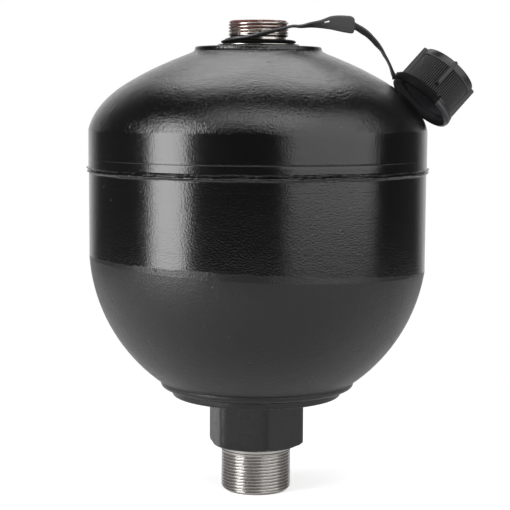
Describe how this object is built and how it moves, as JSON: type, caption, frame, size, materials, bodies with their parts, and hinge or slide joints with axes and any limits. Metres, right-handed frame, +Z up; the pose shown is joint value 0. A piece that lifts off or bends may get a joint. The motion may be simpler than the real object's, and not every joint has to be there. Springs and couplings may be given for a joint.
{
  "type": "diaphragm accumulator",
  "caption": "Welded diaphragm accumulator: domed steel shell, hexagon fluid port with outer thread below, gas stub above, cap on a tether.",
  "frame": {"origin": "centre of the fluid port's end face, on the vessel's axis", "axes": "+Z up along the vessel's axis towards the gas stub; +X towards the side where the cap hangs; -Y is the front"},
  "size_m": [0.182, 0.1602, 0.2249],
  "materials": {
    "shell_paint": "semi-gloss black paint",
    "turned_steel": "turned steel",
    "screw_steel": "zinc-plated steel",
    "seal_rubber": "nitrile rubber",
    "diaphragm_rubber": "nitrile rubber",
    "tether_plastic": "moulded flexible polyethylene",
    "cap_plastic": "moulded polyethylene"
  },
  "bodies": {
    "vessel": {"fluid_port": "shell_paint", "port_weld": "shell_paint", "lower_shell": "shell_paint", "upper_shell": "shell_paint", "girth_weld": "shell_paint", "gas_stub": "turned_steel", "gas_stub_weld": "turned_steel", "charging_screw": "screw_steel", "charging_screw_seal": "seal_rubber", "retaining_ring": "turned_steel", "diaphragm": "diaphragm_rubber"},
    "button": {"closing_button": "turned_steel"},
    "strap": {"tether": "tether_plastic"},
    "cap": {"protective_cap": "cap_plastic"}
  },
  "joints": [
    {"name": "button_lift", "type": "slide", "parent": "vessel", "child": "button", "axis": [0, 0, 1], "range_m": [0, 0.09], "deforming": ["diaphragm"]},
    {"name": "strap_swing", "type": "hinge", "parent": "vessel", "child": "strap", "pos_m": [0, 0, 0.2118], "axis": [0, 0, 1], "continuous": true},
    {"name": "cap_turn", "type": "hinge", "parent": "strap", "child": "cap", "pos_m": [0.0769, 0.00342, 0.18532], "axis": [0.6564, 0.225, 0.7201], "continuous": true}
  ]
}
